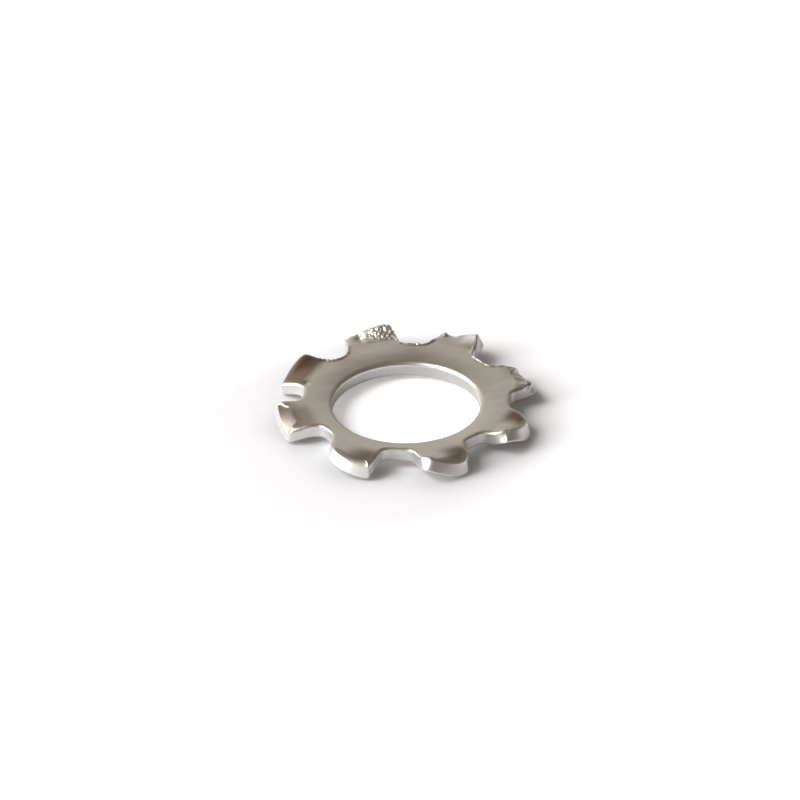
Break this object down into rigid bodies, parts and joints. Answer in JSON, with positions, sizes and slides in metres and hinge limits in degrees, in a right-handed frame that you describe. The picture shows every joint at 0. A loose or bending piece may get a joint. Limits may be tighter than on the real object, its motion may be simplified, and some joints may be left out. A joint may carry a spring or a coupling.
{
  "type": "toothed lock washer",
  "caption": "Flat spring-steel ring with a round bore and outward teeth, each set with one corner up and one down to bite under a nut or screw head.",
  "frame": {"origin": "on the bore's axis, in the plane of the ring's lower face", "axes": "+Z along the bore's axis, from the ring's lower face to its upper face, which is the side with the rolled edges; +X along the first tooth"},
  "size_m": [0.015, 0.015, 0.0018],
  "materials": {
    "spring_steel": "bare spring steel, tumbled to a warm satin, with bright cut edges and small dents and burrs on the teeth"
  },
  "bodies": {
    "root": {"lock_washer": "spring_steel"}
  },
  "joints": []
}
